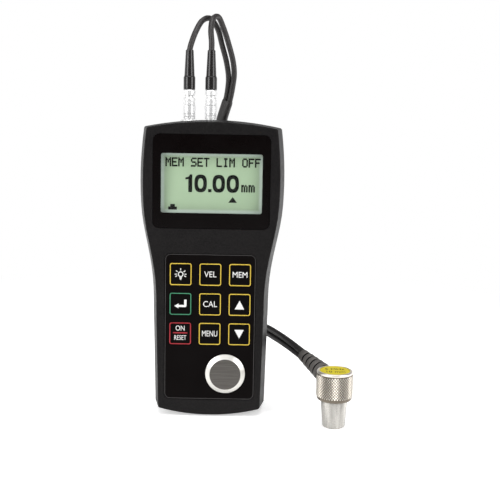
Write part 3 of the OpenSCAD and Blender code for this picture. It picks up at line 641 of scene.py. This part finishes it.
PROBE = span("probe_disc")[2]
head_low, head_high, _ = span("probe_head")
HEAD_Z0, HEAD_Z1, HEAD_R = head_low.z, head_high.z, 9.0
KNURL_R, KNURL_END, KNURL_HEIGHT = HEAD_R - 0.22, 1.5, 0.34
KNURL_AROUND, KNURL_ROWS = 84, 16
HEAD_FOOT = ((6.2, 0), (7.95, 0), (8.45, 0.25), (8.75, 0.75), (KNURL_R, 1.3))
HEAD_TOP = ((KNURL_R, -1.3), (8.9, -1.15), (8.92, -0.6), (8.75, -0.25), (8.4, -0.02),
            (8.25, 0), (7.75, 0), (7.62, -0.1), (7.6, -1.2), (6.2, -1.2))


def knurl_material():
    """Nickel with a painted highlight on the knurl's points and on the top band, and painted
    shade between the points.
    """
    m, t, b = nodes_of("knurled_nickel")
    x, y, z = axes(t)
    dist = distance(t, value(t, "SUBTRACT", x, PROBE.x * MM),
                    value(t, "SUBTRACT", y, PROBE.y * MM))
    # Painted highlight on the knurl's outer points and the top band; the dark colour between the
    # points is painted shade
    points = ramp(t, dist, (HEAD_R - 0.2) * MM, (HEAD_R + 0.08) * MM)
    top_band_highlight = ramp(t, z, (HEAD_Z1 - 1.35) * MM, (HEAD_Z1 - 1.25) * MM)
    painted_highlight = value(t, "MAXIMUM", points, top_band_highlight)
    feed(t, mixed(t, painted_highlight, lin(120, 112, 101), lin(250, 244, 234)), b.inputs["Base Color"])
    b.inputs["Metallic"].default_value = 1.0
    feed(t, spread(t, noise(t, coords(t), 900, 2), 0.3, 0.42), b.inputs["Roughness"])
    return m


def knurled_head():
    n, rows, first = KNURL_AROUND, KNURL_ROWS, len(HEAD_FOOT)
    k0, k1 = HEAD_Z0 + KNURL_END, HEAD_Z1 - KNURL_END
    rings = [(r, HEAD_Z0 + z) for r, z in HEAD_FOOT]
    rings += [(KNURL_R, k0 + (k1 - k0) * j / rows) for j in range(rows + 1)]
    rings += [(r, HEAD_Z1 + z) for r, z in HEAD_TOP]
    verts, faces = [], []
    for j, (r, z) in enumerate(rings):
        for k in range(n):
            up = first < j < first + rows and (j + k) % 2 == 0
            q = r + (KNURL_HEIGHT if up else 0.0)
            a = 2 * math.pi * k / n
            verts.append((PROBE.x + q * math.cos(a), PROBE.y + q * math.sin(a), z))
    for j in range(len(rings)):
        e = ((j + 1) % len(rings)) * n
        for k in range(n):
            a, b, c, d = j * n + k, j * n + (k + 1) % n, e + (k + 1) % n, e + k
            if first <= j < first + rows:
                even = (j + k) % 2 == 0
                faces += [(a, b, d), (b, c, d)] if even else [(a, b, c), (a, c, d)]
            else:
                faces.append((a, b, c, d))
    mesh = mesh_of("probe_head_knurled", verts, faces)
    ob = new_object("probe_head_knurled", mesh, knurl_material(), ROOT, smooth=20)
    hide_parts("probe_head")


# Probe boot, which points back and to the left, and the print on the yellow disc

BOOT_TURN, BOOT_LIFT = math.radians(61.5), math.radians(12.5)
BOOT_DIR = Vector((-math.cos(BOOT_TURN) * math.cos(BOOT_LIFT),
                   math.sin(BOOT_TURN) * math.cos(BOOT_LIFT), math.sin(BOOT_LIFT)))
BOOT_LEVEL, BOOT_REACH = 0.56, 30.4
BOOT_AXIS = Vector((PROBE.x, PROBE.y, HEAD_Z0 + (HEAD_Z1 - HEAD_Z0) * BOOT_LEVEL))
RIB_START, RIB_PITCH, RIB_SHARE, RIBS = 10.4, 4.0, 0.62, 4
DISC_PRINT_Z, DISC_PRINT_SIZE = span("probe_disc")[1].z + 0.03, 3.6


def ribbed_material():
    """Boot rubber with painted shade in the grooves, which repeat along the boot's axis."""
    m, t, b = nodes_of("ribbed_rubber")
    x, y, z = (value(t, "MULTIPLY", part, unit) for part, unit in zip(axes(t), BOOT_DIR))
    along = value(t, "ADD", value(t, "ADD", x, y), z)
    start = (BOOT_DIR.dot(BOOT_AXIS) + RIB_START) * MM
    ribs = value(t, "DIVIDE", value(t, "SUBTRACT", along, start), RIB_PITCH * MM)
    groove = value(t, "GREATER_THAN", value(t, "FRACT", ribs), RIB_SHARE)
    painted_groove_shade = value(t, "MULTIPLY", groove, value(t, "LESS_THAN", ribs, RIBS))
    v = coords(t)
    rubber = mixed(t, spread(t, noise(t, v, 300, 3)), lin(80, 77, 75), lin(94, 91, 88))
    # Painted shade: the grooves between the ribs are painted near black
    feed(t, mixed(t, painted_groove_shade, rubber, lin(3, 3, 3)), b.inputs["Base Color"])
    feed(t, spread(t, noise(t, v, 700, 2), 0.38, 0.5), b.inputs["Roughness"])
    b.inputs["Specular IOR Level"].default_value = 0.3
    bump(t, b, noise(t, v, 1800, 2), 0.12)
    return m


probe_boot = skin("probe_boot", ribbed_material(), 24, bevel=0.1)
knurled_head()
for name, text, dy in (("probe_frequency", "5 MHz", 2.0), ("probe_size", "10 mm", -2.4)):
    words(name, text, DISC_PRINT_SIZE, PROBE.x, DISC_PRINT_Z, PROBE.y + dy, INK, ROOT, level=True)


# Cord: the route of each lead up to the joint, from its plug's boot

RIGHT_ARCH = ((0, 0, -2), (0, 0, 0), (0, 0.2, 4), (-0.5, 2, 10.5), (0.3, 5.5, 16.3),
              (2.8, 10, 17.8), (5.6, 14.4, 12.4), (8.5, 18, 4), (10.8, 20, -4.6),
              (11.4, 21, -11), (10.6, 21.6, -18))
LEFT_ARCH = ((0, 0, -2), (0, 0, 0), (1, 0.2, 4), (3.2, 2.4, 10.2), (6.0, 6.4, 15.4),
             (9.6, 11.4, 17.1))
LEFT_FALL = ((2.3, 17, 12.6), (4.8, 20, 4.2), (7.3, 21.6, -5), (8.4, 22.6, -12.6),
             (8.0, 23.6, -19))
JOINT = ((8.1, 23, -24.9), (5.1, 25, -35), (3.4, 29, -46))


def tip_of(node):
    _, high, mid = span(node)
    return Vector((mid.x, mid.y, high.z))


def moved(origin, offsets):
    return [origin + Vector(p) for p in offsets]


RIGHT_TIP = tip_of("right_plug_boot")
LEFT_TIP = tip_of("left_plug_boot")
right_route = moved(RIGHT_TIP, RIGHT_ARCH)
left_route = moved(LEFT_TIP, LEFT_ARCH) + moved(RIGHT_TIP, LEFT_FALL)

# Both leads from the joint on, as points with the direction of the twin's width: down behind
# the case, through the tied hank and out to the probe's boot

FLAT, ON_EDGE = Vector((0.8, -0.6, 0)), Vector((0, 0, 1))
DROP = (((2.6, 40, 118), (1, 0, 0)), ((2.5, 48, 97), (1, 0, 0)), ((2, 55, 76), (1, 0, 0)),
        ((1.5, 60, 56), (0.87, 0.5, 0)), ((0.5, 63, 38), (0.5, 0.87, 0.2)),
        ((-1, 66, 23), (0.1, 1, 0.3)), ((-3.5, 71, 12), (0, 0.8, 0.6)),
        ((-6.2, 76.5, 7.2), (0, 0.6, 0.8)), ((-9.6, 81.6, 4.6), (0, 0.3, 0.95)),
        ((-12.4, 87, 3.6), (0, 0, 1)))
HANK_X, HANK_NEAR, HANK_FAR, HANK_Z = -5.0, 43.0, 93.0, 3.4
HANK_RADII = (8.5, 9.95, 11.4, 12.85, 14.3, 17.2)
TURN_STEPS, RUN_STEPS = 12, 3
TAIL = ((12.9, 83.6, 4.4), (14.2, 75, 8), (16.2, 66.5, 14.2), (19, 57.8, 21.6),
        (22.2, 49.2, 28.2), (25.6, 40.6, 32.2), (30.4, 31, 33.8), (35.6, 22.4, 32.9),
        (41.6, 12.6, 31.2))
TAIL_TIP = BOOT_AXIS + BOOT_DIR * BOOT_REACH
TIP_DEPTH = 2
TAIL_SWELL, LEAD_SWELL = 0.18, 0.06
SWELL_IN, SWELL_OUT = 5, 3
SWELL_Z, SWELL_RISE, SWELL_RUN = 8, 10, 12
LEAD_D = 2.8


def half_turn(y, r0, r1, start):
    """Half a turn of the hank around y, clockwise from a start in degrees."""
    out = []
    for k in range(TURN_STEPS + 1):
        f = k / TURN_STEPS
        a = math.radians(start - 180 * f)
        r = r0 + (r1 - r0) * f
        out.append((Vector((HANK_X + r * math.cos(a), y + r * math.sin(a), HANK_Z)), ON_EDGE))
    return out


def straight(x, y0, y1):
    steps = [k / (RUN_STEPS + 1) for k in range(1, RUN_STEPS + 1)]
    return [(Vector((x, y0 + (y1 - y0) * f, HANK_Z)), ON_EDGE) for f in steps]


twin = [(p, FLAT) for p in moved(RIGHT_TIP, JOINT)] + [(Vector(p), Vector(w)) for p, w in DROP]
for k, (r0, r1) in enumerate(zip(HANK_RADII, HANK_RADII[1:])):
    if k % 2 == 0:
        side, start, here, there = 1, 180, HANK_FAR, HANK_NEAR
    else:
        side, start, here, there = -1, 0, HANK_NEAR, HANK_FAR
    twin += half_turn(here, r0, r1, start)
    if k < len(HANK_RADII) - 2:
        twin += straight(HANK_X + side * r1, here, there)
tail = [Vector(p) for p in TAIL] + [TAIL_TIP, TAIL_TIP - BOOT_DIR * TIP_DEPTH]
for k, p in enumerate(tail):
    share = min(k / SWELL_IN, 1.0, (len(tail) - 1 - k) / SWELL_OUT)
    twin.append((p, ON_EDGE * (1.0 + TAIL_SWELL * share)))


def along_at(pts, i):
    """The direction of a line at one of its points."""
    return (pts[min(i + 1, len(pts) - 1)] - pts[max(i - 1, 0)]).normalized()


def across(width, t):
    """The part of a width that is square to a direction, with length 1."""
    return (width - t * width.dot(t)).normalized()


def beside(pairs, offset):
    """The line of one lead: each point moved along the width, further where that is long."""
    line = [p for p, _ in pairs]
    return [p + across(w, along_at(line, i)) * (offset * w.length)
            for i, (p, w) in enumerate(pairs)]


def smooth_line(pts, step=0.8):
    """Points along a Catmull-Rom curve, spaced by about step."""
    out = []
    for i in range(len(pts) - 1):
        p0 = pts[i - 1] if i else pts[0] * 2 - pts[1]
        p1, p2 = pts[i], pts[i + 1]
        p3 = pts[i + 2] if i + 2 < len(pts) else pts[-1] * 2 - pts[-2]
        a, b, c = (p1 - p0).length ** 0.5, (p2 - p1).length ** 0.5, (p3 - p2).length ** 0.5
        t1 = ((p2 - p1) / b - (p2 - p0) / (a + b) + (p1 - p0) / a) * b
        t2 = ((p3 - p2) / c - (p3 - p1) / (b + c) + (p2 - p1) / b) * b
        n = max(2, int((p2 - p1).length / step))
        for k in range(n):
            s = k / n
            out.append(p1 * (2 * s ** 3 - 3 * s ** 2 + 1) + t1 * (s ** 3 - 2 * s ** 2 + s)
                       + p2 * (3 * s ** 2 - 2 * s ** 3) + t2 * (s ** 3 - s ** 2))
    out.append(pts[-1])
    return out


def swell(p):
    """A lead's thickness against its nominal size: more above the hank and in the tail."""
    above = min(max((p.z - SWELL_Z) / SWELL_RISE, 0.0), 1.0)
    out = min(max((p.x - tail[0].x) / SWELL_RUN, 0.0), 1.0)
    return 1.0 + max(LEAD_SWELL * above, TAIL_SWELL * out)


def lead(name, start, side, replaced):
    pts = smooth_line(start + beside(twin, side * LEAD_D / 2))
    curve = bpy.data.curves.new(name, "CURVE")
    curve.dimensions = "3D"
    spline = curve.splines.new("POLY")
    spline.points.add(len(pts) - 1)
    for q, p in zip(spline.points, pts):
        q.co = (p.x * MM, p.y * MM, p.z * MM, 1)
        q.radius = swell(p)
    curve.bevel_depth = LEAD_D / 2 * MM
    curve.bevel_resolution = 4
    curve.use_fill_caps = True
    curve.materials.append(CORD)
    ob = linked(name, curve)
    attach(ob, ROOT)
    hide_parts(*replaced)


JACKET_LENGTH, JACKET_STEP, JACKET_AROUND = 17.0, 1.0, 32
JACKET_HALF_W, JACKET_HALF_T, JACKET_POWER, JACKET_END = 3.2, 1.9, 2.6, 0.94


def jacket():
    """The flat sleeve over both leads where they join."""
    pts = smooth_line([p for p, _ in twin[:4]], JACKET_STEP)
    keep, so_far = [pts[0]], 0.0
    for a, b in zip(pts, pts[1:]):
        so_far += (b - a).length
        if so_far > JACKET_LENGTH:
            break
        keep.append(b)
    last, n = len(keep) - 1, JACKET_AROUND
    verts, faces = [], []
    for i, p in enumerate(keep):
        t = along_at(keep, i)
        u = across(FLAT, t)
        w = t.cross(u)
        grow = JACKET_END if i in (0, last) else 1.0
        ring = super_ring(JACKET_HALF_W * grow, JACKET_HALF_T * grow, JACKET_POWER, n)
        verts += [p + u * a + w * b for a, b in ring]
    for i in range(last):
        for k in range(n):
            j = (k + 1) % n
            faces.append((i * n + k, i * n + j, (i + 1) * n + j, (i + 1) * n + k))
    faces.append(tuple(range(n - 1, -1, -1)))
    faces.append(tuple(last * n + k for k in range(n)))
    mesh = mesh_of("cord_jacket", verts, faces, outward=True)
    ob = new_object("cord_jacket", mesh, CORD, ROOT, smooth=40)
    return ob


cord_jacket = jacket()
lead("lead_left", left_route, -1, ["left_lead", "cord_drop"])
lead("lead_right", right_route, 1, ["right_lead", "cord_hank", "cord_tail"])


# Floor and room. The fades are in metres or, in the room, parts of a direction.

FLOOR_HALF = 3000
FLOOR_TONE, FLOOR_GLOW = (0.9, 0.9, 0.9, 1), 0.5
FLOOR_FADE, FRONT_FADE = (0.12, 0.4), (-0.09, -0.02)
ROOM_SIDES, ROOM_RISE = (-0.55, 0.25), (0.2, 0.5)
ROOM_FRONT, ROOM_BACK, ROOM_ROOF = 0.08, 0.7, 0.15


def ray_kinds(t):
    """Two factors: 1 for rays of the camera and through glass, and 1 for mirror rays."""
    path = t.nodes.new("ShaderNodeLightPath")
    seen = value(t, "MAXIMUM", path.outputs["Is Camera Ray"], path.outputs["Is Transmission Ray"])
    return seen, path.outputs["Is Glossy Ray"]


def floor():
    """A floor that keeps the object's shadow and fades to plain white further out."""
    m, t, b = nodes_of("floor")
    b.inputs["Roughness"].default_value = 0.9
    b.inputs["Specular IOR Level"].default_value = 0.0
    seen, mirror = ray_kinds(t)
    x, y, _ = axes(t)
    far = ramp(t, distance(t, x, y), *FLOOR_FADE, smooth=True)
    tone = mixed(t, far, FLOOR_TONE, (0.0, 0.0, 0.0, 1))
    feed(t, mixed(t, seen, FLOOR_TONE, tone), b.inputs["Base Color"])
    b.inputs["Emission Color"].default_value = (1, 1, 1, 1)
    near = ramp(t, y, *FRONT_FADE, smooth=True)
    shown = value(t, "MAXIMUM", seen, value(t, "MULTIPLY", mirror, near))
    glow = between(t, far, FLOOR_GLOW, 1.0)
    feed(t, value(t, "MULTIPLY", shown, glow), b.inputs["Emission Strength"])
    corners = [(px, pz, 0) for px, pz in bar(-FLOOR_HALF, FLOOR_HALF, -FLOOR_HALF, FLOOR_HALF)]
    new_object("floor", mesh_of("floor", corners, [(0, 1, 2, 3)]), m, None)


def room():
    """A white backdrop behind the object, a dim room in front and a dim roof for mirror rays."""
    world = bpy.data.worlds.new("room")
    bpy.context.scene.world = world
    world.use_nodes = True
    t = world.node_tree
    back = t.nodes["Background"]
    back.inputs[0].default_value = (1, 1, 1, 1)
    _, y, z = axes(t, "Generated")
    seen, mirror = ray_kinds(t)
    light = ramp(t, y, *ROOM_SIDES, ROOM_FRONT, ROOM_BACK, smooth=True)
    white = ramp(t, y, *ROOM_SIDES, ROOM_FRONT, 1.0, smooth=True)
    roof = ramp(t, z, *ROOM_RISE, 1.0, ROOM_ROOF, smooth=True)
    unseen = between(t, mirror, light, value(t, "MULTIPLY", white, roof))
    feed(t, between(t, seen, unseen, 1.0), back.inputs[1])


floor()
room()


# Lamps and camera: name, place, target, width and height, power

LAMPS = (("left_box", (-0.5, -0.42, 0.34), (0, 0, 0.08), (0.36, 0.5), 2.8),
         ("right_box", (0.56, -0.36, 0.34), (0.02, 0, 0.08), (0.34, 0.5), 2.4),
         ("top_box", (0.0, -0.2, 0.75), (0.01, 0.0, 0.06), (0.6, 0.5), 3.2))
CAM_PLACE, CAM_TILT, CAM_ROLL = (0.0165, -0.4428, 0.1527), math.radians(83), math.radians(1)
CAM_LENS, CAM_SHIFT_X, CAM_SHIFT_Y = 62.2, 0.0117, -0.055

for name, place, target, size, power in LAMPS:
    box = bpy.data.lights.new(name, "AREA")
    box.shape = "RECTANGLE"
    box.size, box.size_y = size
    box.energy = power
    lamp = linked(name, box)
    lamp.location = place
    lamp.rotation_euler = (Vector(target) - Vector(place)).to_track_quat("-Z", "Y").to_euler()

cam_data = bpy.data.cameras.new("camera")
cam_data.sensor_width = 36
cam_data.lens = CAM_LENS
cam_data.shift_x = CAM_SHIFT_X
cam_data.shift_y = CAM_SHIFT_Y
cam_data.clip_start = 0.01
cam = linked("camera", cam_data)
cam.location = CAM_PLACE
tilt = Matrix.Rotation(CAM_TILT, 3, "X") @ Matrix.Rotation(CAM_ROLL, 3, "Z")
cam.rotation_euler = tilt.to_euler()
bpy.context.scene.camera = cam
bpy.context.scene.view_settings.view_transform = "Standard"
